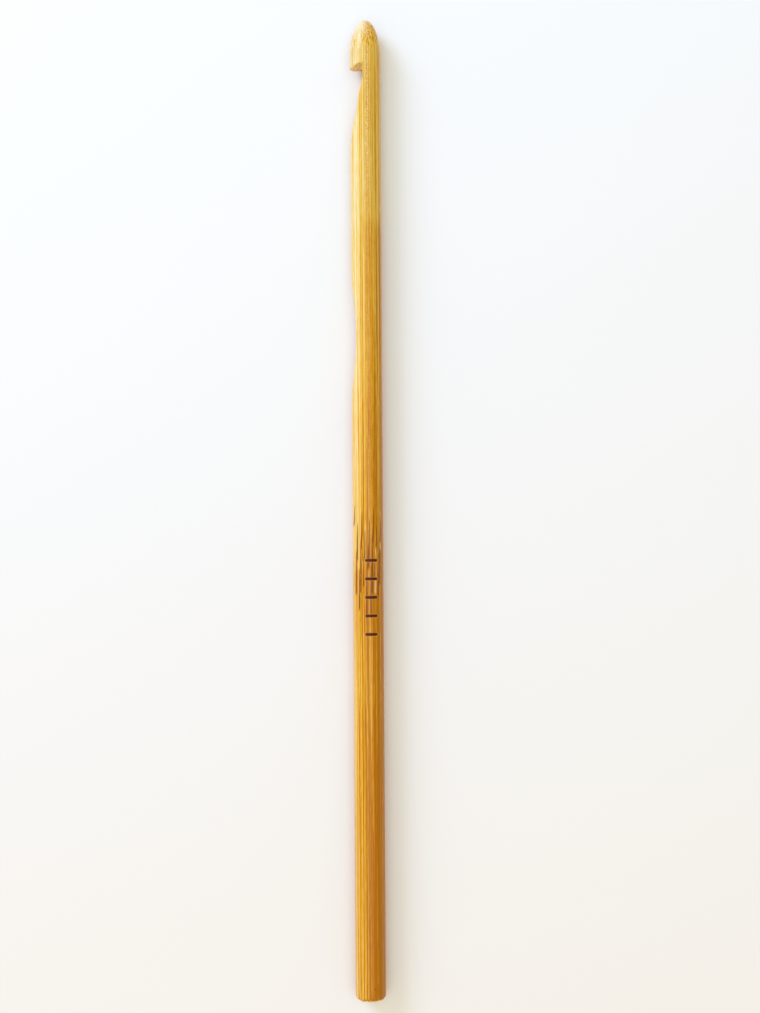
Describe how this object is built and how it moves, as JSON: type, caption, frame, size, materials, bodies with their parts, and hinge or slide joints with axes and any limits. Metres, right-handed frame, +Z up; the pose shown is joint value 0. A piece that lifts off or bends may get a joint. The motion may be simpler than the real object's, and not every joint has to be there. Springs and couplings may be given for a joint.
{
  "type": "crochet hook",
  "caption": "Straight round bamboo crochet hook with a rounded nose, an undercut mouth with a ramped throat, a dished thumb rest and a plain handle.",
  "frame": {"origin": "on the surface that the hook lies on, under the middle of its length", "axes": "+Y along the stick towards the tip, -X the side that the mouth and the thumb rest face, +Z up from the surface"},
  "size_m": [0.005, 0.16, 0.005],
  "materials": {
    "bamboo": "satin"
  },
  "bodies": {
    "root": {"hook_head": "bamboo", "throat": "bamboo", "shank": "bamboo", "thumb_rest": "bamboo", "handle": "bamboo"}
  },
  "joints": []
}
